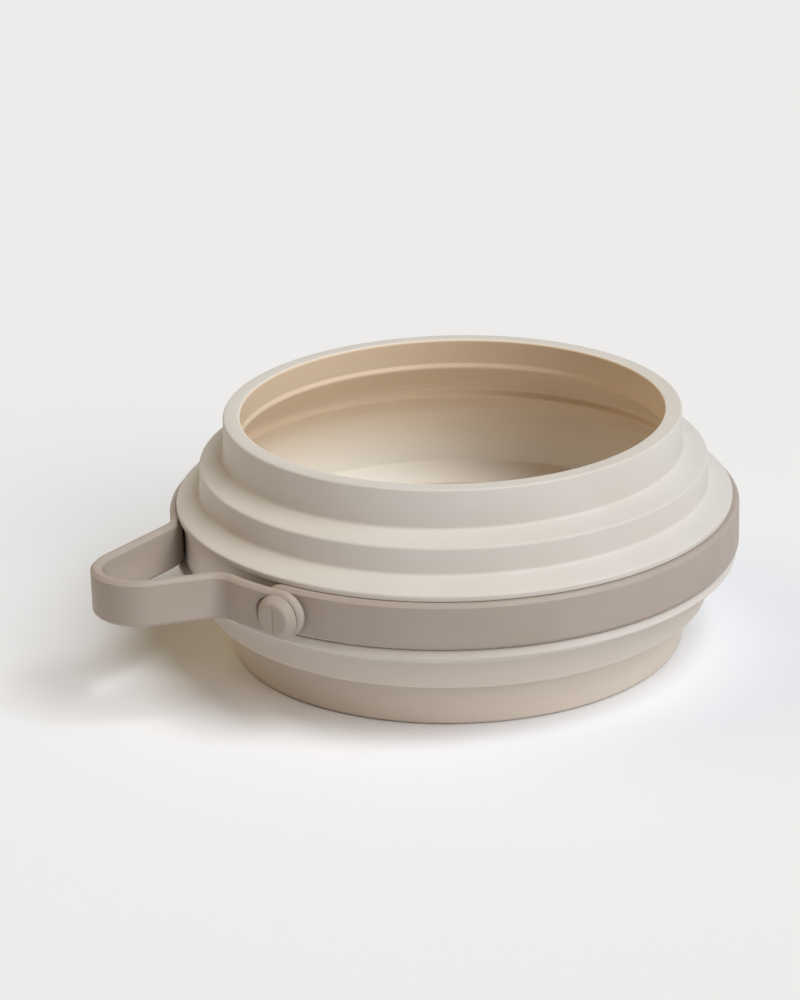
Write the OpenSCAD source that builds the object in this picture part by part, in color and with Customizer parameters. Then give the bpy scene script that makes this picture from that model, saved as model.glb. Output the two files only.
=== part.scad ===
// Collapsible bowl with a buttoned strap. Millimetres, +Z up, foot on Z = 0.
// The bowl is one corrugated moulding. Its stiff rings and the folds between them are
// horizontal slices of one section, so that every slice meets the next on a flat face.

/* [Bowl heights] */
// Height of the wall above the foot
foot_wall_h = 10.6; // [9:0.1:16]
// Stiff part of the foot wall, from the ground up
foot_stiff_h = 5.2; // [4.5:0.1:7]
// Height of the wall below the rim
rim_wall_h = 10.4; // [9:0.1:16]
// Stiff part of the rim wall, from the top down
rim_stiff_h = 5.7; // [4:0.1:7]
// Rise of the outer ledges, beside the foot and the rim
outer_ledge_h = 2.4; // [2:0.1:4]
// Height of each step wall
step_wall_h = 7; // [6:0.1:9]
// Stiff part of each step wall
step_stiff_h = 2.7; // [1.6:0.1:3.4]
// Rise of the inner ledges, beside the belt
inner_ledge_h = 3; // [2.5:0.1:4]
// Drop from each ledge to the stiff ring beside it
ledge_seat = 0.8; // [0.6:0.1:1.2]
// Height of the belt's lip above the strap
upper_lip_h = 1.3; // [1.3:0.1:4]
// Height of the belt's lip below the strap
lower_lip_h = 3.3; // [2:0.1:5]

/* [Bowl radii] */
// Outer radius of the rim's top edge
rim_top_r = 60; // [50:0.5:80]
// Outward slope of the rim wall
rim_flare = 0.2; // [0:0.1:2]
// Inward slope of the foot wall
foot_taper = 0.1; // [0:0.1:2]
// Width of the outer ledges
outer_ledge_w = 6.5; // [5.5:0.1:8]
// Outward slope of each step wall
step_flare = 0.2; // [0:0.1:1]
// Thickness of the belt behind the strap
belt_wall_t = 1.9; // [1.5:0.1:3]
// Gap that lets the step rings pass inside the belt
nest_gap = 2.9; // [2:0.1:4]

/* [Bowl inside] */
// Width of the rim's flat top
rim_t = 4.6; // [3.5:0.1:5.5]
// Thickness of the wall at the outer ridges
outer_ridge_t = 3.7; // [3:0.1:4.5]
// Height of the upper outer ridge above its fold
top_ridge_rise = 1.9; // [1:0.1:2.2]
// Height of the lower outer ridge above its fold
low_ridge_rise = 1.2; // [0.8:0.1:2]
// Thickness of each step at its shoulder
valley_t = 2.7; // [2.2:0.1:3.2]
// Distance of the upper step's inner corner below its shoulder
valley_drop = 1.9; // [1.4:0.1:2.4]
// Height of the lower step's inner corner above its shoulder
valley_rise = 0.6; // [0.4:0.1:1]
// Thickness of each step at its inner ridge
inner_ridge_t = 2.9; // [2.4:0.1:3.4]
// Height of the upper inner ridge above its fold
inner_ridge_rise = 0.1; // [0:0.1:0.6]
// Distance of the belt's inner wall below the belt's top edge
belt_top_drop = 1.7; // [1.4:0.1:2.4]
// Height of the belt's inner wall above the belt's bottom edge
belt_low_rise = 0.2; // [0:0.1:0.4]
// Distance of the lower inner ridge below its fold
low_ridge_drop = 0.1; // [0:0.1:0.6]
// Thickness of the foot wall at the floor
foot_t = 4; // [3:0.1:6]
// Thickness of the floor
floor_t = 3; // [2:0.1:4]

/* [Bowl edges] */
// Rounding of the rim's top edges
rim_edge_r = 1.3; // [0.5:0.1:1.5]
// Rounding of the foot's edge
foot_edge_r = 0.8; // [0.4:0.1:1.5]
// Rounding of the inward folds
fold_r = 0.9; // [0.5:0.1:1.5]
// Rounding of the outward shoulders
shoulder_r = 0.7; // [0.4:0.1:1]
// Rounding of the belt's edges
belt_edge_r = 0.6; // [0.3:0.1:0.8]
// Rounding inside, where the wall meets the floor
floor_edge_r = 2.5; // [1:0.1:3]

/* [Strap] */
// Width of the strap
strap_w = 12.2; // [11:0.1:16]
// Thickness of the strap
strap_t = 3.1; // [2.9:0.1:4]
// Rounding of the strap's long edges
strap_edge_r = 1.4; // [0.5:0.1:1.5]
// How far the strap stands out beyond the belt's upper lip
strap_proud = 1.8; // [0.5:0.1:2]
// How far the belt's lower lip stands behind its upper one
lower_lip_in = 1.1; // [0.4:0.1:1.3]
// Gap between the strap and its groove
groove_gap = 0.3; // [0.3:0.05:0.6]
// Gap between the tail's end and the strap under it
lay_gap = 0.3; // [0.3:0.05:0.6]
// Direction at which the tail leaves the strap
root_az = -172; // [-175:0.5:-168]
// Bend radius where the tail leaves the strap
root_bend_r = 10; // [6:0.5:11]
// Direction of the loop's far end
loop_az = -151.1; // [-153:0.1:-150]
// Distance of the loop's far end from the strap's middle line
loop_out = 17; // [16:0.5:26]
// Bend radius of the loop's far end
loop_end_r = 11.5; // [8:0.5:12]
// Direction at which the tail comes back to the strap
landing_az = -136.5; // [-138:0.5:-135.5]
// Bend radius where the tail comes back to the strap
landing_bend_r = 6.5; // [4:0.5:7]
// Angle of strap that runs on behind the tail's landing
strap_overrun = 6; // [4.6:0.1:8]

/* [Stud] */
// Direction of the stud
stud_az = -124; // [-124.5:0.1:-121]
// Largest radius of the stud's head
head_r = 5.75; // [5.3:0.05:6]
// Radius of the head's flat face
face_r = 4.1; // [2.5:0.1:4.8]
// Height of the head's upright edge
head_edge_h = 0.4; // [0.2:0.1:1]
// Height of the head's bevel
head_bevel_h = 2.2; // [0.6:0.1:3]
// Width of the notch across the face
notch_w = 0.6; // [0.4:0.1:1.2]
// Depth of the notch across the face
notch_d = 0.5; // [0.3:0.1:1]
// Radius of the stud's neck
neck_r = 3.5; // [2.5:0.1:3.6]
// Gap round the neck
neck_gap = 0.3; // [0.3:0.05:0.6]
// Gap between the neck and the buttonhole's sides
slot_gap = 0.8; // [0.3:0.1:1.2]
// Length that the buttonhole is longer than it is wide
slot_run = 3; // [1:0.1:4.5]
// How much wider than a half circle the tail's round end is
tip_end_ease = 0.2; // [0.1:0.05:0.5]
// Radius of the stud's back flange
back_r = 5; // [4.6:0.1:5.4]
// Thickness of the stud's back flange
back_t = 1; // [0.6:0.1:1.2]
// Gap behind and round the back flange
back_gap = 0.3; // [0.3:0.05:0.5]

/* [Hidden] */
$fn = 128;
arc_steps = 5;
cream = "#DDD3C6";
taupe = "#B3A594";

// Levels of the section's corners, from the foot up
low_fold_z = foot_wall_h;
low_step_z = low_fold_z + outer_ledge_h;
low_inner_z = low_step_z + step_wall_h;
low_belt_z = low_inner_z + inner_ledge_h;
groove_low_z = low_belt_z + lower_lip_h;
groove_top_z = groove_low_z + strap_w + 2 * groove_gap;
top_belt_z = groove_top_z + upper_lip_h;
top_inner_z = top_belt_z + inner_ledge_h;
top_step_z = top_inner_z + step_wall_h;
top_fold_z = top_step_z + outer_ledge_h;
top_z = top_fold_z + rim_wall_h;

// Levels at which the section is sliced
low_step_cut = low_step_z + ledge_seat;
low_inner_cut = low_step_cut + step_stiff_h;
low_belt_cut = low_belt_z + ledge_seat;
top_belt_cut = top_belt_z - ledge_seat;
top_step_cut = top_step_z - ledge_seat;
top_inner_cut = top_step_cut - step_stiff_h;
rim_cut = top_z - rim_stiff_h;

// Radii of the section's corners, from the rim out to the strap
fold_foot_r = rim_top_r + rim_flare;
base_r = fold_foot_r - foot_taper;
step_top_r = fold_foot_r + outer_ledge_w;
step_foot_r = step_top_r + step_flare;
ring_out_r = step_top_r + step_flare * (ledge_seat + step_stiff_h) / step_wall_h;
belt_in_r = ring_out_r + nest_gap;
groove_r = belt_in_r + belt_wall_t;
strap_in_r = groove_r + groove_gap;
strap_r = strap_in_r + strap_t;
belt_r = strap_r - strap_proud;
low_belt_r = belt_r - lower_lip_in;

// Strap path
strap_z = (groove_low_z + groove_top_z) / 2;
band_mid_r = strap_r - strap_t / 2;
tip_mid_r = band_mid_r + strap_t + lay_gap;
tip_out_r = tip_mid_r + strap_t / 2;
root_c = (band_mid_r + root_bend_r) * unit(root_az);
loop_c = (band_mid_r + loop_out) * unit(loop_az);
landing_c = (tip_mid_r + landing_bend_r) * unit(landing_az);
out_reach = root_bend_r + loop_end_r;
back_reach = loop_end_r + landing_bend_r;
out_head = heading(root_c, loop_c) - asin(out_reach / norm(loop_c - root_c));
back_head = heading(loop_c, landing_c) + asin(back_reach / norm(landing_c - loop_c));
out_len = sqrt(pow(norm(loop_c - root_c), 2) - pow(out_reach, 2));
back_len = sqrt(pow(norm(landing_c - loop_c), 2) - pow(back_reach, 2));
band_az = landing_az + strap_overrun;

// A straight run is a hair slimmer than a bend and laps into it, so that they fuse
run_step = 0.02;
run_lap = 0.25;

// Buttonhole end, and the distances between which it is cut
tip_end_r = strap_w / 2 + tip_end_ease;
tip_low_r = tip_mid_r - strap_t;
tip_high_r = tip_mid_r + strap_t;

// Stud seat
back_seat_r = strap_in_r + back_gap + back_t;
head_seat_r = tip_out_r + lay_gap;
face_at_r = head_seat_r + head_edge_h + head_bevel_h;
hole_r = neck_r + neck_gap;
slot_r = neck_r + slot_gap;

// Top of the belt's inner wall
belt_in_top_z = top_belt_z - belt_top_drop;

// Closed section of the moulding and the rounding of each corner
outer_line = [
    [base_r, 0],
    [fold_foot_r, low_fold_z],
    [step_top_r, low_step_z],
    [step_foot_r, low_inner_z],
    [low_belt_r, low_belt_z],
    [low_belt_r, groove_low_z],
    [groove_r, groove_low_z],
    [groove_r, groove_top_z],
    [belt_r, groove_top_z],
    [belt_r, top_belt_z],
    [step_foot_r, top_inner_z],
    [step_top_r, top_step_z],
    [fold_foot_r, top_fold_z],
    [rim_top_r, top_z]
];
outer_rounds = [
    foot_edge_r, fold_r, shoulder_r, fold_r, belt_edge_r,
    0, 0, 0, 0,
    belt_edge_r, fold_r, shoulder_r, fold_r, rim_edge_r
];
inner_line = [
    [rim_top_r - rim_t, top_z],
    [fold_foot_r - outer_ridge_t, top_fold_z + top_ridge_rise],
    [step_top_r - valley_t, top_step_z - valley_drop],
    [step_foot_r - inner_ridge_t, top_inner_z + inner_ridge_rise],
    [belt_in_r, belt_in_top_z],
    [belt_in_r, low_belt_z + belt_low_rise],
    [step_foot_r - inner_ridge_t, low_inner_z - low_ridge_drop],
    [step_top_r - valley_t, low_step_z + valley_rise],
    [fold_foot_r - outer_ridge_t, low_fold_z + low_ridge_rise],
    [base_r + foot_taper * floor_t / foot_wall_h - foot_t, floor_t],
    [0, floor_t],
    [0, 0]
];
inner_rounds = [
    rim_edge_r, fold_r, shoulder_r, fold_r, 0,
    0, shoulder_r, shoulder_r, fold_r, floor_edge_r,
    0, 0
];
bowl_section = rounded(concat(outer_line, inner_line), concat(outer_rounds, inner_rounds));

// Unit vector in the ground plane at an angle
function unit(a) = [cos(a), sin(a)];

// Direction of the line from one point to another
function heading(p, q) = atan2(q[1] - p[1], q[0] - p[0]);

// Arc that rounds corner b between a and c, or the corner itself
function corner(a, b, c, r) =
    let (
        u = (a - b) / norm(a - b),
        v = (c - b) / norm(c - b),
        half = acos(u * v) / 2,
        o = b + (u + v) / norm(u + v) * r / sin(half),
        start = heading(o, b + u * r / tan(half)),
        turn = (u[0] * v[1] - u[1] * v[0] > 0 ? -1 : 1) * (180 - 2 * half)
    )
    r == 0 ? [b] : [for (k = [0 : arc_steps]) o + r * unit(start + turn * k / arc_steps)];

// Closed line with each corner rounded by its own radius
function rounded(pts, radii) =
    let (n = len(pts))
    [for (i = [0 : n - 1]) each corner(pts[(i + n - 1) % n], pts[i], pts[(i + 1) % n], radii[i])];

// Part of the section between two levels and two radii
module section_part(low, high, r_low = 0, r_high = belt_r) {
    intersection() {
        polygon(bowl_section);
        translate([r_low, low]) square([r_high - r_low, high - low]);
    }
}

// Slice of the moulding between two levels, from a radius out
module slice(low, high, r_low = 0) {
    rotate_extrude() section_part(low, high, r_low);
}

// Cross-section of the strap, centred, less a step on every side
module strap_section(step = 0) {
    x = strap_t / 2 - step;
    y = strap_w / 2 - step;
    r = strap_edge_r;
    polygon(rounded([[-x, -y], [x, -y], [x, y], [-x, y]], [r, r, r, r]));
}

// Strap bent round a centre, from one angle to a larger one
module strap_bend(c, r, from, to) {
    translate([c[0], c[1], strap_z])
        rotate([0, 0, from])
            rotate_extrude(angle = to - from)
                translate([r, 0]) strap_section();
}

// Straight strap along a heading, between two distances from a point
module strap_run(p, head, low, high) {
    translate([p[0], p[1], strap_z])
        rotate([0, 0, head])
            translate([low, 0, 0])
                rotate([90, 0, 90])
                    linear_extrude(high - low) strap_section(run_step);
}

// Round bar on the stud's axis between two distances from the bowl's axis
module stud_bar(low, high, r_low, r_high, shift = 0) {
    rotate([0, 0, stud_az])
        translate([low, shift, strap_z])
            rotate([0, 90, 0]) cylinder(h = high - low, r1 = r_low, r2 = r_high);
}

// Block on the stud's axis between two distances from the bowl's axis
module stud_block(low, high, y_low, y_high, height) {
    rotate([0, 0, stud_az])
        translate([low, y_low, strap_z - height / 2])
            cube([high - low, y_high - y_low, height]);
}

module base_cup() {
    color(cream) slice(0, foot_stiff_h);
}

module base_fold() {
    color(cream) slice(foot_stiff_h, low_step_cut);
}

module lower_step_ring() {
    color(cream) slice(low_step_cut, low_inner_cut);
}

module lower_fold() {
    color(cream) slice(low_inner_cut, low_belt_cut);
}

module equator_ring() {
    color(cream) slice(low_belt_cut, top_belt_cut, belt_in_r);
}

module upper_fold() {
    color(cream)
        rotate_extrude() {
            section_part(top_belt_cut, top_inner_cut);
            section_part(belt_in_top_z, top_belt_cut, 0, belt_in_r);
        }
}

module upper_step_ring() {
    color(cream) slice(top_inner_cut, top_step_cut);
}

module rim_fold() {
    color(cream) slice(top_step_cut, rim_cut);
}

module rim_ring() {
    color(cream) slice(rim_cut, top_z);
}

module strap_band() {
    color(taupe)
        difference() {
            strap_bend([0, 0], band_mid_r, band_az, root_az + 360);
            stud_bar(strap_in_r - strap_t, strap_r + strap_t, hole_r, hole_r);
            stud_bar(strap_in_r - strap_t, back_seat_r, back_r + back_gap, back_r + back_gap);
        }
}

module strap_root() {
    color(taupe) strap_bend(root_c, root_bend_r, out_head + 90, root_az + 180);
}

module strap_loop() {
    color(taupe) {
        strap_run(root_c + root_bend_r * unit(out_head + 90), out_head, 0, out_len + run_lap);
        strap_bend(loop_c, loop_end_r, out_head - 90, back_head - 90);
        strap_run(loop_c + loop_end_r * unit(back_head - 90), back_head, -run_lap, back_len + run_lap);
        strap_bend(landing_c, landing_bend_r, landing_az + 180, back_head + 90);
    }
}

module strap_tip() {
    color(taupe)
        difference() {
            strap_bend([0, 0], tip_mid_r, landing_az, stud_az + 2 * asin(tip_end_r / tip_mid_r));
            difference() {
                stud_block(tip_low_r, tip_high_r, 0, 3 * tip_end_r, 3 * tip_end_r);
                stud_bar(tip_low_r, tip_high_r, tip_end_r, tip_end_r);
            }
            stud_bar(tip_low_r, tip_high_r, slot_r, slot_r);
            stud_bar(tip_low_r, tip_high_r, slot_r, slot_r, -slot_run);
            stud_block(tip_low_r, tip_high_r, -slot_run, 0, 2 * slot_r);
        }
}

module fastening_stud() {
    color(taupe)
        difference() {
            union() {
                stud_bar(back_seat_r - back_t, back_seat_r, back_r, back_r);
                stud_bar(back_seat_r - back_t, face_at_r, neck_r, neck_r);
                stud_bar(head_seat_r, head_seat_r + head_edge_h, head_r, head_r);
                stud_bar(head_seat_r + head_edge_h, face_at_r, head_r, face_r);
            }
            stud_block(face_at_r - notch_d, face_at_r + notch_d, -notch_w / 2, notch_w / 2, 2 * head_r);
        }
}

base_cup();
base_fold();
lower_step_ring();
lower_fold();
equator_ring();
upper_fold();
upper_step_ring();
rim_fold();
rim_ring();
strap_band();
strap_root();
strap_loop();
strap_tip();
fastening_stud();
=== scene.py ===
"""Looks of a collapsible silicone bowl with a buttoned strap. Metres, +Z up, foot on Z = 0.

The bowl is one moulding. Its stiff rings ride their own bodies. Each fold between two rings is
a pair of sheets, the outer and the inner face of the wall.
The sizes of the bowl, the strap and the stud are in millimetres and degrees.
"""

import logging
import math
from collections.abc import Iterable, Sequence
from dataclasses import dataclass, field
from enum import Enum
from functools import cached_property

import bmesh
import bpy
from bmesh.types import BMEdge, BMesh
from mathutils import Matrix, Vector


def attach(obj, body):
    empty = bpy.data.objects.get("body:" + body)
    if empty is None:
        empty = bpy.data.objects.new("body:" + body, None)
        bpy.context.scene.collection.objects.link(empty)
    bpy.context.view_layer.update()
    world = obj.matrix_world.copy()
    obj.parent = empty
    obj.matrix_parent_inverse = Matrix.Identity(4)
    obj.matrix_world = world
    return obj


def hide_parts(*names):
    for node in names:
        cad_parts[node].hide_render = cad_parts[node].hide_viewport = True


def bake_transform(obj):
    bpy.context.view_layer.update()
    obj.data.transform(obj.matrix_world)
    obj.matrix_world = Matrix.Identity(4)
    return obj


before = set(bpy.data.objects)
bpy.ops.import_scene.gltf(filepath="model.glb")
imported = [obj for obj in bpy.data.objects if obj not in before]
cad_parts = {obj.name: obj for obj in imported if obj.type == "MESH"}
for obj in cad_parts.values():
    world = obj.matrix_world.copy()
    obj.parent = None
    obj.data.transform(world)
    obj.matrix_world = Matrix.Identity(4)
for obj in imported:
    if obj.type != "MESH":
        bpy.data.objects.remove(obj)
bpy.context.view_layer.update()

LOG = logging.getLogger("collapsible_bowl")
MM = 0.001
FULL_TURN = 2 * math.pi
UP = Vector((0, 0, 1))

# Fineness of the meshes: steps of a full turn and of a rounding, and the fewest of a bend.
TURN_STEPS = 240
ROUND_STEPS = 6
FEWEST_BEND_STEPS = 4
# Distance in metres within which two points are one.
WELD = 1e-6
# Angle between two faces from which their edge is a crease.
SHARP = math.radians(38)
# Half of the turn at each corner of a chamfer of 45 degrees.
CHAMFER_HALF = math.pi / 8
# Middle of a small rounding, as a share of its radius from both faces.
ROUND_MIDDLE = 0.3

# Point attribute of the bowl that masks the painted light and shade of the inside: 0 outside,
# the low mark inside below the belt, for a paler painted light, 1 inside above it, for a painted
# warm shade.
INSIDE = "inside"
LOW_MARK = 0.5
# Levels in metres between which the inside goes from the low mark to 1, from the paler painted
# light to the painted warm shade.
INSIDE_SHADE_LEVELS = (0.024, 0.044)
# How fast the mark grows as a face turns to the axis, and how far up a face of the floor looks.
FACING_GAIN = 1.4
FLOOR_RISE = 0.5

# Values between which most of a noise lies, and its finer octaves.
NOISE_SPAN = (0.35, 0.65)
NOISE_DETAIL = 3.0
# Sockets of a colour mix: share, both colours and the outcome.
MIX_SHARE, MIX_FIRST, MIX_SECOND, MIX_OUT = 0, 6, 7, 2

# Level of the strap's middle and heading of its stud, from the bowl's axis.
STRAP_Z = 32.7
STUD_AZ = -124.0


class Body(Enum):
    """Bodies of the frame that pieces ride."""

    BASE = "base"
    LOWER_STEP = "lower_step"
    EQUATOR = "equator"
    UPPER_STEP = "upper_step"
    RIM = "rim"
    STRAP = "strap"
    TAIL = "tail"


class Slot(Enum):
    """Material slots of the record."""

    BOWL = "bowl_silicone"
    STRAP = "strap_silicone"


class Face(Enum):
    """Side of the wall that a sheet shows, as the sign of its normals along the radius."""

    OUTER = 1
    INNER = -1


@dataclass(frozen=True)
class Corner:
    """Corner of a section in millimetres: radius, level and rounding."""

    r: float
    z: float
    fillet: float = 0.0

    def to(self, other: "Corner", z: float) -> "Corner":
        """Return the sharp corner at a level on the line to another corner."""
        share = (z - self.z) / (other.z - self.z)
        return Corner(self.r + share * (other.r - self.r), z)


def linear(colour: str) -> tuple[float, float, float, float]:
    """Return the linear RGBA value of an sRGB hex colour."""
    parts = [int(colour[i : i + 2], 16) / 255 for i in (1, 3, 5)]
    r, g, b = (p / 12.92 if p <= 0.04045 else ((p + 0.055) / 1.055) ** 2.4 for p in parts)
    return r, g, b, 1.0


def heading(az: float) -> Vector:
    """Return the unit vector in the ground plane at an angle in degrees."""
    return Vector((math.cos(math.radians(az)), math.sin(math.radians(az)), 0))


def add_node(
    tree: bpy.types.NodeTree, kind: str, settings: dict[str, object], inputs: dict[object, object]
) -> bpy.types.Node:
    """Add a node to a tree.

    Args:
        tree: Node tree of a material or the world.
        kind: Blender's identifier of the node.
        settings: Values of the node's own properties.
        inputs: Values, or sockets to link from, of the node's inputs.

    Returns:
        The new node.
    """
    node = tree.nodes.new(kind)
    for key, value in settings.items():
        setattr(node, key, value)
    for key, value in inputs.items():
        if isinstance(value, bpy.types.NodeSocket):
            tree.links.new(value, node.inputs[key])
        else:
            node.inputs[key].default_value = value
    return node


@dataclass(frozen=True)
class MouldedSilicone:
    """Silicone rubber, moulded in a spark-eroded tool: a dull skin with a soft, wide gloss.

    The pigment is stirred in, so that the tone drifts a little over some centimetres. Handling
    leaves duller and shinier patches. The tool's grain is drawn coarser than the real 0.1 mm,
    which is finer than a pixel. Where a piece has the inside attribute, the inside gets a tone of
    painted warm shade, which stands in for light that comes through the wall warmer and bounces
    about in the bowl. Below the belt, where the inside lies in the light, it gets a paler tone of
    painted light. Towards the foot the skin gets a warmer tone of painted shade, which stands in
    for the warm shade near the floor.
    """

    name: str
    tone: str
    drift: str
    # Painted warm shade towards the foot.
    foot_shade: str
    # Painted warm shade of the inside above the belt, and a paler painted light of the inside
    # below it.
    inside_shade_tone: str
    low_inside_light_tone: str
    # Levels in millimetres at which the painted shade of the foot is full and at which it ends.
    foot_shade_mm: tuple[float, float] = (4.0, 26.0)
    drift_mm: float = 26.0
    patch_mm: float = 9.0
    grain_mm: float = 0.55
    grain_depth_mm: float = 0.012
    dull: float = 0.62
    shiny: float = 0.5
    ior: float = 1.41

    def layered_tone(
        self, tree: bpy.types.NodeTree, place: bpy.types.NodeSocket, drift: bpy.types.NodeSocket
    ) -> bpy.types.NodeSocket:
        """Lay the drift, the painted shade of the foot and the painted shade and light of the
        inside over the plain tone.

        Args:
            tree: Node tree of the material.
            place: Object coordinates.
            drift: Noise of the pigment.

        Returns:
            The colour of the skin.
        """
        level = add_node(tree, "ShaderNodeSeparateXYZ", {}, {"Vector": place}).outputs["Z"]
        inside = add_node(tree, "ShaderNodeAttribute", {"attribute_name": INSIDE}, {})
        mark = inside.outputs["Fac"]
        # Levels at which the painted shade of the foot is full and at which it is gone.
        shade_full_at, shade_none_at = (height * MM for height in self.foot_shade_mm)
        tone = linear(self.tone)
        # Coats in turn: the drift, the painted shade of the foot, the paler painted light of the
        # inside below the belt and the painted warm shade of the inside above it.
        for value, start, end, coat in (
            (drift, *NOISE_SPAN, self.drift),
            (level, shade_none_at, shade_full_at, self.foot_shade),
            (mark, 0.0, LOW_MARK, self.low_inside_light_tone),
            (mark, LOW_MARK, 1.0, self.inside_shade_tone),
        ):
            share = add_node(
                tree,
                "ShaderNodeMapRange",
                {},
                {"Value": value, "From Min": start, "From Max": end},
            ).outputs["Result"]
            tone = add_node(
                tree,
                "ShaderNodeMix",
                {"data_type": "RGBA"},
                {MIX_SHARE: share, MIX_FIRST: tone, MIX_SECOND: linear(coat)},
            ).outputs[MIX_OUT]
        return tone

    @cached_property
    def material(self) -> bpy.types.Material:
        """The material, built when it is first asked for."""
        made = bpy.data.materials.new(self.name)
        made.use_nodes = True
        tree = made.node_tree
        tree.nodes.clear()
        place = add_node(tree, "ShaderNodeTexCoord", {}, {}).outputs["Object"]
        drift, patches, relief = (
            add_node(
                tree,
                "ShaderNodeTexNoise",
                {},
                {"Vector": place, "Scale": 1 / (size * MM), "Detail": NOISE_DETAIL},
            ).outputs["Fac"]
            for size in (self.drift_mm, self.patch_mm, self.grain_mm)
        )
        gloss = add_node(
            tree,
            "ShaderNodeMapRange",
            {},
            {
                "Value": patches,
                "From Min": NOISE_SPAN[0],
                "From Max": NOISE_SPAN[1],
                "To Min": self.shiny,
                "To Max": self.dull,
            },
        ).outputs["Result"]
        grain = add_node(
            tree,
            "ShaderNodeBump",
            {},
            {"Height": relief, "Strength": 1.0, "Distance": self.grain_depth_mm * MM},
        ).outputs["Normal"]
        skin = add_node(
            tree,
            "ShaderNodeBsdfPrincipled",
            {},
            {
                "Base Color": self.layered_tone(tree, place, drift),
                "Roughness": gloss,
                "Normal": grain,
                "IOR": self.ior,
            },
        ).outputs["BSDF"]
        add_node(tree, "ShaderNodeOutputMaterial", {}, {"Surface": skin})
        return made


def draw_section(bm: BMesh, corners: Sequence[Corner], closed: bool) -> None:
    """Draw a section in the XZ plane, with its corners rounded.

    Args:
        bm: Mesh that gets the line.
        corners: Corners in order.
        closed: Whether the last corner joins the first.
    """
    verts = [bm.verts.new((c.r * MM, 0, c.z * MM)) for c in corners]
    last = len(verts) if closed else len(verts) - 1
    for i in range(last):
        bm.edges.new((verts[i], verts[(i + 1) % len(verts)]))
    spots = [Vector((c.r, c.z)) for c in corners]
    for i, corner in enumerate(corners):
        if corner.fillet:
            into = spots[i] - spots[i - 1]
            out = spots[(i + 1) % len(spots)] - spots[i]
            reach = corner.fillet * math.tan(into.angle(out) / 2)
            bmesh.ops.bevel(
                bm,
                geom=[verts[i]],
                offset=reach * MM,
                offset_type="OFFSET",
                segments=ROUND_STEPS,
                profile=0.5,
                affect="VERTICES",
                material=-1,
            )


def divide_long(bm: BMesh, limit: float) -> None:
    """Divide the edges of a line that are longer than a limit in metres."""
    for edge in list(bm.edges):
        cuts = math.ceil(edge.calc_length() / limit) - 1
        if cuts > 0:
            bmesh.ops.subdivide_edges(bm, edges=[edge], cuts=cuts)


def turn_section(bm: BMesh) -> None:
    """Turn a drawn section a full turn about the bowl's axis and close its seam and poles."""
    bmesh.ops.spin(
        bm,
        geom=bm.verts[:] + bm.edges[:],
        cent=(0, 0, 0),
        axis=UP,
        angle=FULL_TURN,
        steps=TURN_STEPS,
        use_merge=True,
    )
    bmesh.ops.remove_doubles(bm, verts=bm.verts, dist=WELD)
    bmesh.ops.recalc_face_normals(bm, faces=bm.faces)


def make_piece(bm: BMesh, name: str) -> bpy.types.Object:
    """Turn a mesh in the making into an object of the scene.

    Args:
        bm: Finished mesh, which is freed.
        name: Name of the piece.

    Returns:
        The object, with smooth faces and sharp creases.
    """
    for piece_face in bm.faces:
        piece_face.smooth = True
    for edge in bm.edges:
        edge.smooth = len(edge.link_faces) == 2 and edge.calc_face_angle() < SHARP
    mesh = bpy.data.meshes.new(name)
    bm.to_mesh(mesh)
    bm.free()
    made = bpy.data.objects.new(name, mesh)
    bpy.context.scene.collection.objects.link(made)
    LOG.info("built %s: %d faces", name, len(mesh.polygons))
    return made


def inside_mark(z: float) -> float:
    """Return the inside attribute at a level in metres: the low mark under the belt, 1 above."""
    low, high = INSIDE_SHADE_LEVELS
    return LOW_MARK + (1 - LOW_MARK) * min(1.0, max(0.0, (z - low) / (high - low)))


def mark_inside(made: bpy.types.Object, floor_z: float) -> None:
    """Mark the points of a turned piece that face the bowl's axis or its floor.

    Args:
        made: Turned piece, which gets the inside attribute.
        floor_z: Level in metres under which a face that looks up is the floor.
    """
    mesh = made.data
    # The mark masks the painted light and the painted warm shade of the inside.
    marks = mesh.attributes.new(INSIDE, "FLOAT", "POINT").data
    for vert in mesh.vertices:
        radial = vert.co.xy.to_3d().normalized()
        facing = min(1.0, max(0.0, -FACING_GAIN * vert.normal.dot(radial)))
        on_floor = vert.normal.z > FLOOR_RISE and vert.co.z < floor_z
        marks[vert.index].value = inside_mark(vert.co.z) * (1.0 if on_floor else facing)


def dress_piece(
    piece: bpy.types.Object, finish: MouldedSilicone, slot: Slot, node: str
) -> None:
    """Give a piece its material and hide the solid that it stands for."""
    piece.data.materials.append(finish.material)
    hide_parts(node)


@dataclass(frozen=True)
class Ring:
    """Stiff ring of the moulding, a section turned about the axis."""

    name: str
    node: str
    body: Body
    corners: tuple[Corner, ...]
    closed: bool = True
    floor_z: float = 4.0

    def build(self) -> bpy.types.Object:
        """Turn the ring and set it on its body."""
        bm = bmesh.new()
        draw_section(bm, self.corners, self.closed)
        turn_section(bm)
        made = make_piece(bm, self.name)
        mark_inside(made, self.floor_z * MM)
        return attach(made, self.body.value)


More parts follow.
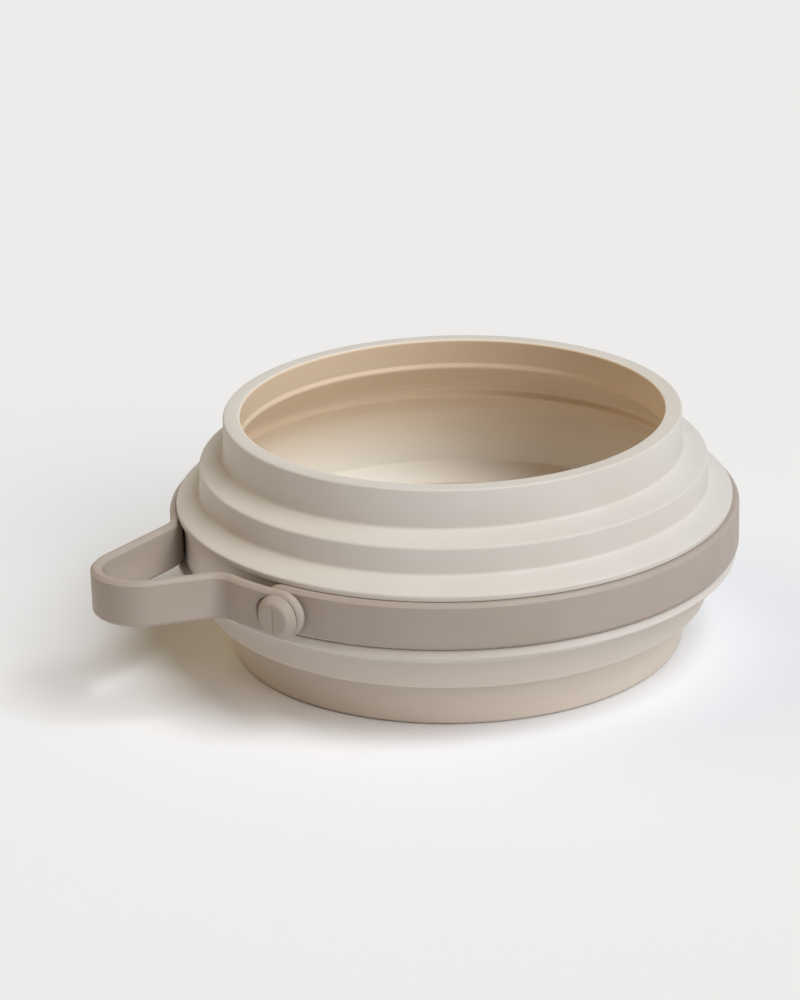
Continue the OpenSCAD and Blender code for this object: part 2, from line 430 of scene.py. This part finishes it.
@dataclass(frozen=True)
class Sheet:
    """One face of a fold, with a skin of some thickness behind it.

    Its levels are where a point would go over from following the lower body to the upper; the
    sheet rides no body and is not bent.
    """

    name: str
    node: str
    face: Face
    low: Body
    high: Body
    levels: tuple[float, float]
    corners: tuple[Corner, ...]
    skin_t: float = 0.6
    step: float = 0.4

    def build(self) -> bpy.types.Object:
        """Turn the sheet and thicken it."""
        bm = bmesh.new()
        draw_section(bm, self.corners, closed=False)
        divide_long(bm, self.step * MM)
        turn_section(bm)
        flow = sum(f.normal.dot(f.calc_center_median().to_2d().to_3d()) for f in bm.faces)
        if flow * self.face.value < 0:
            bmesh.ops.reverse_faces(bm, faces=bm.faces)
        made = make_piece(bm, self.name)
        # Only the inner face gets the mask of the inside's painted light and shade.
        marks = made.data.attributes.new(INSIDE, "FLOAT", "POINT").data
        if self.face is Face.INNER:
            marks.foreach_set("value", [inside_mark(v.co.z) for v in made.data.vertices])
        start, end = ((0, 0, level * MM) for level in self.levels)
        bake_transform(made)
        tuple(start)
        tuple(end)
        wall = made.modifiers.new("skin", "SOLIDIFY")
        wall.thickness = self.skin_t * MM
        wall.offset = -1
        wall.use_even_offset = True
        return made


@dataclass
class Bowl:
    """Moulding of the bowl, as a section about its axis."""

    finish: MouldedSilicone
    # Outer line below the groove, from the foot up.
    foot: Corner = Corner(60.1, 0, 0.8)
    low_fold: Corner = Corner(60.2, 10.6, 0.9)
    low_step: Corner = Corner(66.7, 13.0, 0.7)
    low_inner: Corner = Corner(66.9, 20.0, 0.9)
    low_belt: Corner = Corner(74.4, 24.0, 0.6)
    low_lip: Corner = Corner(73.8, 26.3, 0.7)
    # Groove for the strap and the belt's back.
    groove_top: float = 38.9
    groove_r: float = 71.6
    lip_fillet: float = 0.2
    belt_back_r: float = 71.0
    # Outer line above the groove, up to the rim.
    top_belt: Corner = Corner(73.2, 40.4, 0.6)
    top_inner: Corner = Corner(66.9, 43.4, 0.9)
    top_step: Corner = Corner(66.7, 50.4, 0.7)
    top_fold: Corner = Corner(60.2, 52.8, 0.9)
    rim: Corner = Corner(60.0, 63.2, 0.6)
    # Inner line from the rim down. The hollow over each ridge makes it a bead.
    rim_in: Corner = Corner(55.4, 63.2, 0.6)
    rim_waist: Corner = Corner(56.1, 58.5, 2.0)
    top_hollow: Corner = Corner(56.5, 56.1, 1.0)
    top_ridge: Corner = Corner(56.0, 54.6, 0.9)
    top_valley: Corner = Corner(64.0, 48.0, 4.0)
    inner_hollow: Corner = Corner(64.8, 45.2, 0.8)
    inner_ridge: Corner = Corner(63.6, 43.7, 0.6)
    belt_in_top: Corner = Corner(69.7, 38.2, 3.5)
    belt_in_mid: Corner = Corner(69.9, 31.0)
    belt_in_low: Corner = Corner(69.7, 22.4, 0.5)
    low_inner_ridge: Corner = Corner(62.5, 18.5, 0.7)
    low_valley: Corner = Corner(63.5, 13.6, 0.7)
    low_ridge: Corner = Corner(56.5, 11.8, 0.9)
    floor_edge: Corner = Corner(56.13, 3.0, 2.5)
    # Levels of the cuts between the rings and the folds, outside and then inside the steps.
    foot_cut: float = 5.2
    low_step_cut: float = 13.8
    low_inner_cut: float = 16.5
    low_belt_cut: float = 24.9
    top_belt_cut: float = 39.6
    top_inner_cut: float = 46.9
    top_step_cut: float = 49.6
    rim_cut: float = 57.5
    low_step_seat: tuple[float, float] = (14.6, 16.5)
    top_step_seat: tuple[float, float] = (45.6, 45.9)
    # Levels between which the outer and the inner face of each fold would bend; nothing bends
    # them.
    base_outer_bend: tuple[float, float] = (10.6, 11.8)
    base_inner_bend: tuple[float, float] = (12.9, 13.6)
    lower_outer_bend: tuple[float, float] = (20.0, 22.2)
    lower_inner_bend: tuple[float, float] = (20.9, 22.9)
    upper_outer_bend: tuple[float, float] = (41.5, 43.4)
    upper_inner_bend: tuple[float, float] = (37.4, 41.0)
    rim_outer_bend: tuple[float, float] = (51.2, 52.8)
    rim_inner_bend: tuple[float, float] = (47.6, 51.2)
    pieces: dict[str, bpy.types.Object] = field(default_factory=dict)

    def rings(self) -> Iterable[Ring]:
        """Yield the stiff rings from the foot up."""
        yield Ring(
            "foot_cup",
            "base_cup",
            Body.BASE,
            (
                Corner(0, 0),
                self.foot,
                self.foot.to(self.low_fold, self.foot_cut),
                self.floor_edge.to(self.low_ridge, self.foot_cut),
                self.floor_edge,
                Corner(0, self.floor_edge.z),
            ),
            closed=False,
        )
        low_seat, high_seat = self.low_step_seat
        yield Ring(
            "lower_step",
            "lower_step_ring",
            Body.LOWER_STEP,
            (
                self.low_step.to(self.low_inner, self.low_step_cut),
                self.low_step.to(self.low_inner, self.low_inner_cut),
                self.low_valley.to(self.low_inner_ridge, high_seat),
                self.low_valley.to(self.low_inner_ridge, low_seat),
            ),
        )
        yield Ring(
            "grooved_belt",
            "equator_ring",
            Body.EQUATOR,
            (
                self.low_belt.to(self.low_lip, self.low_belt_cut),
                self.low_lip,
                Corner(self.groove_r, self.low_lip.z),
                Corner(self.groove_r, self.groove_top, self.lip_fillet),
                Corner(self.top_belt.r, self.groove_top, self.lip_fillet),
                Corner(self.top_belt.r, self.top_belt_cut),
                Corner(self.belt_back_r, self.top_belt_cut),
                Corner(self.belt_back_r, self.low_belt_cut),
            ),
        )
        low_seat, high_seat = self.top_step_seat
        yield Ring(
            "upper_step",
            "upper_step_ring",
            Body.UPPER_STEP,
            (
                self.top_step.to(self.top_inner, self.top_step_cut),
                self.top_step.to(self.top_inner, self.top_inner_cut),
                self.top_valley.to(self.inner_hollow, low_seat),
                self.top_valley.to(self.inner_hollow, high_seat),
            ),
        )
        yield Ring(
            "rim_lip",
            "rim_ring",
            Body.RIM,
            (
                self.rim.to(self.top_fold, self.rim_cut),
                self.rim,
                self.rim_in,
                self.rim_waist,
                self.rim_waist.to(self.top_hollow, self.rim_cut),
            ),
        )

    def sheets(self) -> Iterable[Sheet]:
        """Yield both faces of each fold from the foot up."""
        yield Sheet(
            "base_fold_outer",
            "base_fold",
            Face.OUTER,
            Body.BASE,
            Body.LOWER_STEP,
            self.base_outer_bend,
            (
                self.foot.to(self.low_fold, self.foot_cut),
                self.low_fold,
                self.low_step,
                self.low_step.to(self.low_inner, self.low_step_cut),
            ),
        )
        yield Sheet(
            "base_fold_inner",
            "base_fold",
            Face.INNER,
            Body.BASE,
            Body.LOWER_STEP,
            self.base_inner_bend,
            (
                self.floor_edge.to(self.low_ridge, self.foot_cut),
                self.low_ridge,
                self.low_valley,
                self.low_valley.to(self.low_inner_ridge, self.low_step_seat[0]),
            ),
        )
        yield Sheet(
            "lower_fold_outer",
            "lower_fold",
            Face.OUTER,
            Body.LOWER_STEP,
            Body.EQUATOR,
            self.lower_outer_bend,
            (
                self.low_step.to(self.low_inner, self.low_inner_cut),
                self.low_inner,
                self.low_belt,
                self.low_belt.to(self.low_lip, self.low_belt_cut),
            ),
        )
        yield Sheet(
            "lower_fold_inner",
            "lower_fold",
            Face.INNER,
            Body.LOWER_STEP,
            Body.EQUATOR,
            self.lower_inner_bend,
            (
                self.low_valley.to(self.low_inner_ridge, self.low_step_seat[1]),
                self.low_inner_ridge,
                self.belt_in_low,
                self.belt_in_mid,
            ),
        )
        yield Sheet(
            "upper_fold_outer",
            "upper_fold",
            Face.OUTER,
            Body.EQUATOR,
            Body.UPPER_STEP,
            self.upper_outer_bend,
            (
                Corner(self.top_belt.r, self.top_belt_cut),
                self.top_belt,
                self.top_inner,
                self.top_step.to(self.top_inner, self.top_inner_cut),
            ),
        )
        yield Sheet(
            "upper_fold_inner",
            "upper_fold",
            Face.INNER,
            Body.EQUATOR,
            Body.UPPER_STEP,
            self.upper_inner_bend,
            (
                self.belt_in_mid,
                self.belt_in_top,
                self.inner_ridge,
                self.inner_hollow,
                self.top_valley.to(self.inner_hollow, self.top_step_seat[0]),
            ),
        )
        yield Sheet(
            "rim_fold_outer",
            "rim_fold",
            Face.OUTER,
            Body.UPPER_STEP,
            Body.RIM,
            self.rim_outer_bend,
            (
                self.top_step.to(self.top_inner, self.top_step_cut),
                self.top_step,
                self.top_fold,
                self.rim.to(self.top_fold, self.rim_cut),
            ),
        )
        yield Sheet(
            "rim_fold_inner",
            "rim_fold",
            Face.INNER,
            Body.UPPER_STEP,
            Body.RIM,
            self.rim_inner_bend,
            (
                self.top_valley.to(self.inner_hollow, self.top_step_seat[1]),
                self.top_valley,
                self.top_ridge,
                self.top_hollow,
                self.rim_waist.to(self.top_hollow, self.rim_cut),
            ),
        )

    def build(self) -> None:
        """Build the rings and the folds between them."""
        for part in (*self.rings(), *self.sheets()):
            self.pieces[part.name] = part.build()

    def dress(self) -> None:
        """Give every piece of the moulding the same silicone."""
        for part in (*self.rings(), *self.sheets()):
            dress_piece(self.pieces[part.name], self.finish, Slot.BOWL, part.node)


@dataclass
class Strap:
    """Flat strap in the belt's groove, whose tail stands out as a loop."""

    finish: MouldedSilicone
    # Section, with chamfered edges whose corners are eased.
    width: float = 12.2
    thick: float = 3.1
    edge_w: float = 0.9
    edge_r: float = 0.25
    # Path of the strap's middle: the band, the tail's bends and the tip over the band.
    z: float = STRAP_Z
    band_r: float = 73.45
    tip_r: float = 76.85
    root_az: float = -172.0
    root_bend_r: float = 10.0
    loop_az: float = -151.1
    loop_out: float = 17.0
    loop_end_r: float = 11.5
    landing_az: float = -136.5
    landing_bend_r: float = 6.5
    # Round end of the band behind the tip: its start past the landing, its reach, its least width.
    overrun: float = 6.0
    end_turn: float = 4.8
    end_w: float = 0.4
    # Buttonhole in the tip.
    stud_az: float = STUD_AZ
    slot_r: float = 4.3
    slot_run: float = 3.0
    slot_edge_r: float = 0.3
    # Fineness: points of a round end, degrees in a bend, millimetres on a straight run.
    end_steps: int = 64
    bend_step: float = 1.5
    run_step: float = 1.5
    pieces: dict[str, bpy.types.Object] = field(default_factory=dict)

    def __post_init__(self) -> None:
        """Work out the tail's path from its bends."""
        self.root_c = heading(self.root_az) * (self.band_r + self.root_bend_r)
        self.loop_c = heading(self.loop_az) * (self.band_r + self.loop_out)
        self.landing_c = heading(self.landing_az) * (self.tip_r + self.landing_bend_r)
        out = self.loop_c - self.root_c
        back = self.landing_c - self.loop_c
        out_reach = self.root_bend_r + self.loop_end_r
        back_reach = self.loop_end_r + self.landing_bend_r
        self.out_az = math.degrees(math.atan2(out.y, out.x) - math.asin(out_reach / out.length))
        self.back_az = math.degrees(
            math.atan2(back.y, back.x) + math.asin(back_reach / back.length)
        )
        self.out_len = math.sqrt(out.length_squared - out_reach**2)
        self.back_len = math.sqrt(back.length_squared - back_reach**2)

    def section(self, bm: BMesh, spot: Vector, az: float) -> list[BMEdge]:
        """Draw the strap's section across its path.

        Args:
            bm: Mesh that gets the line.
            spot: Point of the path in millimetres.
            az: Heading of the path in degrees.

        Returns:
            The section's edges.
        """
        x, z, cut = self.thick / 2, self.width / 2, self.edge_w
        half = ((x - cut, -z), (x, cut - z), (x, z - cut), (x - cut, z))
        around = (*half, *((-r, -h) for r, h in half))
        draw_section(bm, [Corner(r, h, self.edge_r) for r, h in around], closed=True)
        divide_long(bm, self.run_step * MM)
        place = Matrix.Translation(spot * MM + UP * self.z * MM)
        turn = Matrix.Rotation(math.radians(az - 90), 4, "Z")
        bmesh.ops.transform(bm, matrix=place @ turn, verts=bm.verts)
        return bm.edges[:]

    def bend(self, bm: BMesh, edges: list[BMEdge], centre: Vector, angle: float) -> list[BMEdge]:
        """Carry a section round a centre by an angle in degrees and return its last edges."""
        verts = {v for e in edges for v in e.verts}
        swept = bmesh.ops.spin(
            bm,
            geom=list(verts) + edges,
            cent=centre * MM,
            axis=UP,
            angle=math.radians(angle),
            steps=max(FEWEST_BEND_STEPS, math.ceil(abs(angle) / self.bend_step)),
        )
        return [g for g in swept["geom_last"] if isinstance(g, BMEdge)]

    def run(self, bm: BMesh, edges: list[BMEdge], az: float, length: float) -> list[BMEdge]:
        """Carry a section straight on along a heading and return its last edges."""
        steps = math.ceil(length / self.run_step)
        for _ in range(steps):
            grown = bmesh.ops.extrude_edge_only(bm, edges=edges)["geom"]
            edges = [g for g in grown if isinstance(g, BMEdge)]
            verts = list({v for e in edges for v in e.verts})
            bmesh.ops.translate(bm, verts=verts, vec=heading(az) * (length / steps) * MM)
            edges = [e for e in edges if all(v in verts for v in e.verts)]
        return edges

    def close(self, bm: BMesh, name: str, node: str) -> bpy.types.Object:
        """Cap the ends of a swept strap and make it the piece that stands for a node."""
        bmesh.ops.remove_doubles(bm, verts=bm.verts, dist=WELD)
        bmesh.ops.holes_fill(bm, edges=[e for e in bm.edges if e.is_boundary])
        bmesh.ops.recalc_face_normals(bm, faces=bm.faces)
        self.pieces[node] = make_piece(bm, name)
        return self.pieces[node]

    def build_band(self) -> None:
        """Lay the band round the groove, from its round end behind the tip to the root."""
        bm = bmesh.new()
        start = self.landing_az + self.overrun
        edges = self.section(bm, heading(start) * self.band_r, start + 90)
        self.bend(bm, edges, Vector(), self.root_az + 360 - start)
        for vert in bm.verts:
            past = (math.degrees(math.atan2(vert.co.y, vert.co.x)) - start) / self.end_turn
            if -WELD < past < 1:
                share = max(self.end_w, math.sqrt(1 - (1 - max(past, 0)) ** 2))
                vert.co.z = (self.z + (vert.co.z / MM - self.z) * share) * MM
        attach(self.close(bm, "groove_band", "strap_band"), Body.STRAP.value)

    def build_root(self) -> None:
        """Bend the strap out of the groove, between the band and the tail."""
        bm = bmesh.new()
        edges = self.section(bm, heading(self.root_az) * self.band_r, self.root_az + 90)
        self.bend(bm, edges, self.root_c, self.out_az - self.root_az - 90)
        root = self.close(bm, "root_bend", "strap_root")
        start = heading(self.root_az) * self.band_r + UP * self.z
        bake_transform(root)

    def build_loop(self) -> None:
        """Sweep the tail out, round the loop's end and back to the band."""
        bm = bmesh.new()
        spot = self.root_c + heading(self.out_az + 90) * self.root_bend_r
        edges = self.section(bm, spot, self.out_az)
        edges = self.run(bm, edges, self.out_az, self.out_len)
        edges = self.bend(bm, edges, self.loop_c, self.back_az - self.out_az)
        edges = self.run(bm, edges, self.back_az, self.back_len)
        self.bend(bm, edges, self.landing_c, self.landing_az + 90 - self.back_az)
        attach(self.close(bm, "carry_loop", "strap_loop"), Body.TAIL.value)

    def outline(
        self, bm: BMesh, radius: float, run: float, out: float, square: bool
    ) -> list[BMEdge]:
        """Draw an outline of the flat tip or of its buttonhole.

        Args:
            bm: Mesh that gets the line.
            radius: Half of the outline's width in millimetres.
            run: Length of its straight sides.
            out: Level of the outline in the strap's thickness.
            square: Whether the straight sides end square, not round.

        Returns:
            The outline's edges.
        """
        ring = bmesh.ops.create_circle(bm, radius=radius * MM, segments=self.end_steps)["verts"]
        for vert in (v for v in ring if v.co.x < -WELD):
            vert.co.x = -run * MM if square else vert.co.x - run * MM
        bmesh.ops.translate(bm, verts=ring, vec=UP * out * MM)
        return list({e for v in ring for e in v.link_edges})

    def build_tip(self) -> None:
        """Cut the tail's round end with its buttonhole flat, then bend it to the band."""
        bm = bmesh.new()
        reach = math.radians(self.stud_az - self.landing_az) * self.tip_r
        half, face, cut, hole = self.width / 2, self.thick / 2, self.edge_w, self.slot_edge_r
        ease = self.edge_r * math.tan(CHAMFER_HALF)
        lean = ease / math.sqrt(2)
        middle = hole * ROUND_MIDDLE
        # Each outline: how far it lies in from the edge, and how deep under the face.
        edge = ((cut + ease, 0), (cut - lean, lean), (lean, cut - lean), (0, cut + ease))
        lip = ((hole, 0), (middle, middle), (0, hole))
        radius, run = self.slot_r, self.slot_run
        stack = [self.outline(bm, half - i, reach, d - face, True) for i, d in edge]
        stack += [self.outline(bm, half - i, reach, face - d, True) for i, d in reversed(edge)]
        stack += [self.outline(bm, radius + i, run, face - d, False) for i, d in lip]
        stack += [self.outline(bm, radius + i, run, d - face, False) for i, d in reversed(lip)]
        for i, ring in enumerate(stack):
            bmesh.ops.bridge_loops(bm, edges=stack[i - 1] + ring)
        cuts = math.ceil((reach + half) / self.run_step)
        for i in range(1, cuts):
            spot = Vector((-reach + i * self.run_step, 0, 0)) * MM
            bmesh.ops.bisect_plane(
                bm, geom=bm.verts[:] + bm.edges[:] + bm.faces[:], plane_co=spot, plane_no=(1, 0, 0)
            )
        for vert in bm.verts:
            along, up, out = vert.co / MM
            az = self.stud_az + math.degrees(along / self.tip_r)
            vert.co = (heading(az) * (self.tip_r + out) + UP * (self.z + up)) * MM
        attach(self.close(bm, "buttoned_end", "strap_tip"), Body.TAIL.value)

    def build(self) -> None:
        """Build the strap from its band to the tail's end."""
        self.build_band()
        self.build_root()
        self.build_loop()
        self.build_tip()

    def dress(self) -> None:
        """Give the whole strap its silicone."""
        for node, piece in self.pieces.items():
            dress_piece(piece, self.finish, Slot.STRAP, node)


@dataclass
class Stud:
    """Button of the strap, turned about a radius of the bowl."""

    finish: MouldedSilicone
    az: float = STUD_AZ
    z: float = STRAP_Z
    # Back flange behind the band, and the neck through it.
    back: float = 72.2
    back_r: float = 5.0
    back_t: float = 1.0
    neck_r: float = 3.5
    edge_r: float = 0.25
    # Head on the tip: undercut, upright edge, bevel and flat face.
    seat: float = 78.7
    undercut: float = 0.4
    head_r: float = 5.75
    head_back_r: float = 0.1
    edge_h: float = 0.3
    head_edge_r: float = 0.3
    face_r: float = 4.1
    face_at: float = 81.3
    face_edge_r: float = 1.2
    # Notch across the face, with one side wider so that it catches the light.
    notch_sides: tuple[float, float] = (-0.55, 0.3)
    notch_d: float = 0.28
    pieces: dict[str, bpy.types.Object] = field(default_factory=dict)

    def build(self) -> None:
        """Turn the stud, press the notch into its face and set it on the strap."""
        bm = bmesh.new()
        neck_foot = self.back + self.back_t
        head_back = self.seat + self.undercut
        draw_section(
            bm,
            (
                Corner(0, self.back),
                Corner(self.back_r, self.back, self.edge_r),
                Corner(self.back_r, neck_foot, self.edge_r),
                Corner(self.neck_r, neck_foot, self.edge_r),
                Corner(self.neck_r, self.seat, self.edge_r),
                Corner(self.head_r, head_back, self.head_back_r),
                Corner(self.head_r, head_back + self.edge_h, self.head_edge_r),
                Corner(self.face_r, self.face_at, self.face_edge_r),
                Corner(0, self.face_at),
            ),
            closed=False,
        )
        turn_section(bm)
        for side in (0, *self.notch_sides):
            bmesh.ops.bisect_plane(
                bm,
                geom=bm.verts[:] + bm.edges[:] + bm.faces[:],
                plane_co=(side * MM, 0, 0),
                plane_no=(1, 0, 0),
            )
        low = self.face_at * MM - WELD
        sunk = [v for v in bm.verts if abs(v.co.x) < WELD and v.co.z > low]
        bmesh.ops.translate(bm, verts=sunk, vec=UP * -self.notch_d * MM)
        out = heading(self.az)
        along = UP.cross(out)
        place = Matrix((along, UP, out)).transposed().to_4x4()
        place.translation = UP * self.z * MM
        bmesh.ops.transform(bm, matrix=place, verts=bm.verts)
        bmesh.ops.recalc_face_normals(bm, faces=bm.faces)
        made = make_piece(bm, "button")
        self.pieces["fastening_stud"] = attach(made, Body.STRAP.value)

    def dress(self) -> None:
        """Give the stud its silicone."""
        for node, piece in self.pieces.items():
            dress_piece(piece, self.finish, Slot.STRAP, node)


@dataclass(frozen=True)
class Lamp:
    """Wide lamp far away, by direction and spread in degrees."""

    name: str
    az: float
    el: float
    spread: float
    power: float
    tone: str = "#FFFFFF"

    def build(self) -> None:
        """Hang the lamp."""
        data = bpy.data.lights.new(self.name, "SUN")
        data.energy = self.power
        data.color = linear(self.tone)[:3]
        data.angle = math.radians(self.spread)
        lamp = bpy.data.objects.new(self.name, data)
        level = math.radians(self.el)
        aim = heading(self.az) * math.cos(level) + UP * math.sin(level)
        lamp.rotation_euler = aim.to_track_quat("Z", "Y").to_euler()
        bpy.context.scene.collection.objects.link(lamp)


@dataclass
class Studio:
    """Pale floor, soft light from the front right and the camera of the photograph."""

    # Floor, in metres, a hair under the foot so that the two faces don't meet.
    floor_tone: str = "#F2F2F5"
    backdrop_tone: str = "#EFEFEF"
    floor_half: float = 3.0
    floor_drop: float = 0.0002
    # Two soft lamps at the front right, warm cards that throw light back, and a faint sky.
    lamps: tuple[Lamp, ...] = (
        Lamp("softbox", az=-30.0, el=60.0, spread=35.0, power=2.32, tone="#F5FBFF"),
        Lamp("low_softbox", az=-47.0, el=30.0, spread=30.0, power=1.06),
        Lamp("back_card", az=164.0, el=40.0, spread=50.0, power=0.72, tone="#FFEABB"),
        Lamp("side_card", az=-115.0, el=35.0, spread=60.0, power=0.14, tone="#FFBC95"),
    )
    sky: float = 0.03
    sky_tone: str = "#FFEBD6"
    # Camera: degrees, metres, and pixels of the photograph.
    tilt: float = 21.55
    roll: float = -1.24
    distance: float = 0.9004
    target_z: float = 0.032
    focal_px: float = 3400.0
    offset_px: tuple[float, float] = (54.5, 18.4)
    long_side_px: float = 1000.0
    sensor: float = 36.0

    def build_floor(self) -> None:
        """Lay the floor just under the foot."""
        bm = bmesh.new()
        bmesh.ops.create_grid(bm, x_segments=1, y_segments=1, size=self.floor_half)
        bmesh.ops.translate(bm, verts=bm.verts, vec=UP * -self.floor_drop)
        floor = make_piece(bm, "floor")
        # Matt paper: no gloss at all, so that only the soft shadow shows on it.
        paper = bpy.data.materials.new("matt_paper_floor")
        paper.use_nodes = True
        skin = paper.node_tree.nodes["Principled BSDF"].inputs
        skin["Base Color"].default_value = linear(self.floor_tone)
        skin["Roughness"].default_value = 1.0
        skin["Specular IOR Level"].default_value = 0.0
        floor.data.materials.append(paper)

    def build_world(self) -> None:
        """Make the sky: an even light, seen as the floor's colour."""
        world = bpy.data.worlds.new("studio")
        world.use_nodes = True
        tree = world.node_tree
        tree.nodes.clear()
        path = add_node(tree, "ShaderNodeLightPath", {}, {}).outputs
        seen = path["Is Camera Ray"]
        for other in ("Is Glossy Ray", "Is Transmission Ray"):
            seen = add_node(
                tree, "ShaderNodeMath", {"operation": "MAXIMUM"}, {0: seen, 1: path[other]}
            ).outputs[0]
        light, show = (
            add_node(
                tree, "ShaderNodeBackground", {}, {"Color": linear(tone), "Strength": strength}
            ).outputs[0]
            for tone, strength in ((self.sky_tone, self.sky), (self.backdrop_tone, 1.0))
        )
        both = add_node(tree, "ShaderNodeMixShader", {}, {0: seen, 1: light, 2: show}).outputs[0]
        add_node(tree, "ShaderNodeOutputWorld", {}, {"Surface": both})
        bpy.context.scene.world = world

    def build_camera(self) -> None:
        """Set the camera where the photograph was taken from."""
        tilt, roll = math.radians(self.tilt), math.radians(self.roll)
        back = Vector((0, -math.cos(tilt), math.sin(tilt)))
        level = Vector((1, 0, 0))
        rise = back.cross(level)
        right = level * math.cos(roll) + rise * math.sin(roll)
        top = rise * math.cos(roll) - level * math.sin(roll)
        aim = -self.focal_px * back - self.offset_px[0] * right + self.offset_px[1] * top
        aim.normalize()
        side = aim.cross(top).normalized()
        data = bpy.data.cameras.new("camera")
        data.sensor_width = self.sensor
        data.lens = self.focal_px / self.long_side_px * self.sensor
        camera = bpy.data.objects.new("camera", data)
        place = Matrix((side, side.cross(aim), -aim)).transposed().to_4x4()
        place.translation = UP * self.target_z + back * self.distance
        camera.matrix_world = place
        bpy.context.scene.collection.objects.link(camera)
        bpy.context.scene.camera = camera

    def build(self) -> None:
        """Build the floor, the light, the sky and the camera."""
        self.build_floor()
        for lamp in self.lamps:
            lamp.build()
        self.build_world()
        self.build_camera()
        bpy.context.scene.view_settings.view_transform = "Standard"


def main() -> None:
    """Build the studio, the bowl and its strap, and dress them."""
    logging.basicConfig(level=logging.INFO, format="%(message)s")
    # Cream rubber: pale and dull, with a tan painted shade on the inside that stands in for light
    # come through the wall, a paler painted light low inside and a warmer painted shade at the
    # foot.
    cream = MouldedSilicone(
        "moulded_cream_silicone",
        tone="#D2CCC5",
        drift="#CEC7BF",
        foot_shade="#D7CBBC",
        inside_shade_tone="#DFC9AF",
        low_inside_light_tone="#E8E2D8",
    )
    # Taupe rubber: the same skin in a darker tone, which is even but for the drift.
    taupe = MouldedSilicone(
        "moulded_taupe_silicone",
        tone="#AA9D93",
        drift="#A5988D",
        foot_shade="#AA9D93",
        inside_shade_tone="#AA9D93",
        low_inside_light_tone="#AA9D93",
    )
    Studio().build()
    for part in (Bowl(cream), Strap(taupe), Stud(taupe)):
        part.build()
        part.dress()
        LOG.info("dressed %s: %s", type(part).__name__, ", ".join(part.pieces))


if __name__ == "__main__":
    main()
